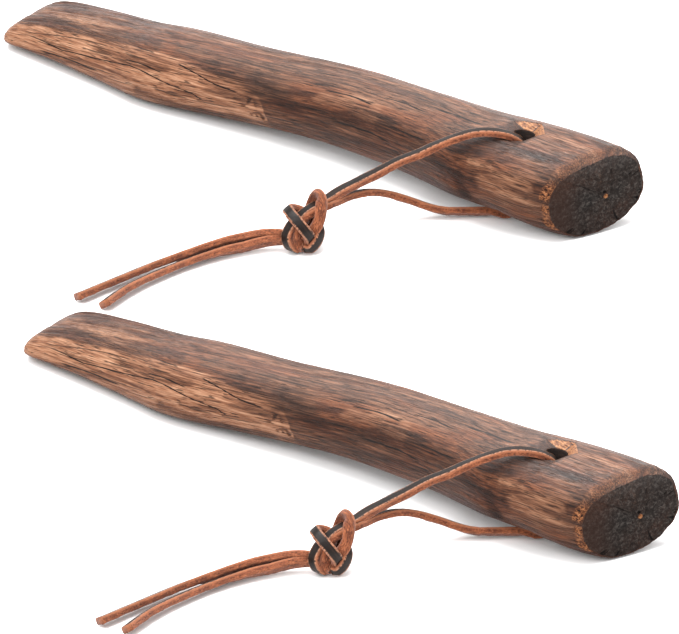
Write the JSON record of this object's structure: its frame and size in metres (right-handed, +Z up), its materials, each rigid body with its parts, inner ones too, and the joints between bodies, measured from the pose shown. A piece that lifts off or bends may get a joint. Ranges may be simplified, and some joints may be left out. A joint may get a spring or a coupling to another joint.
{
  "type": "claves",
  "caption": "Pair of hand-cut branch claves with flattened tips and charred butts, each bored near the butt for a knotted leather thong.",
  "frame": {"origin": "centre of the pair of sticks seen from above, on the table they rest on; the thongs are left out", "axes": "+X along both sticks towards the butts, +Y from the front stick to the rear one, +Z up"},
  "size_m": [0.4286, 0.3562, 0.0347],
  "materials": {
    "rear_wood": "satin",
    "front_wood": "satin",
    "rear_leather": "matt suede",
    "front_leather": "matt suede"
  },
  "bodies": {
    "rear_stick": {"rear_stick": "rear_wood"},
    "rear_thong": {"rear_thong_loop": "rear_leather", "rear_thong_knot": "rear_leather", "rear_thong_long_tail": "rear_leather", "rear_thong_short_tail": "rear_leather"},
    "front_stick": {"front_stick": "front_wood"},
    "front_thong": {"front_thong_loop": "front_leather", "front_thong_knot": "front_leather", "front_thong_long_tail": "front_leather", "front_thong_short_tail": "front_leather"}
  },
  "joints": [
    {"name": "front_stick_lift", "type": "slide", "parent": "rear_stick", "child": "front_stick", "axis": [0, 0, 1], "range_m": [0, 0.2]},
    {"name": "rear_thong_swing", "type": "hinge", "parent": "rear_stick", "child": "rear_thong", "pos_m": [0.0121, 0.08846, 0], "axis": [0, 0, 1], "range_deg": [-10, 12]},
    {"name": "front_thong_swing", "type": "hinge", "parent": "front_stick", "child": "front_thong", "pos_m": [0.1801, -0.09454, 0], "axis": [0, 0, 1], "range_deg": [-10, 12]}
  ]
}
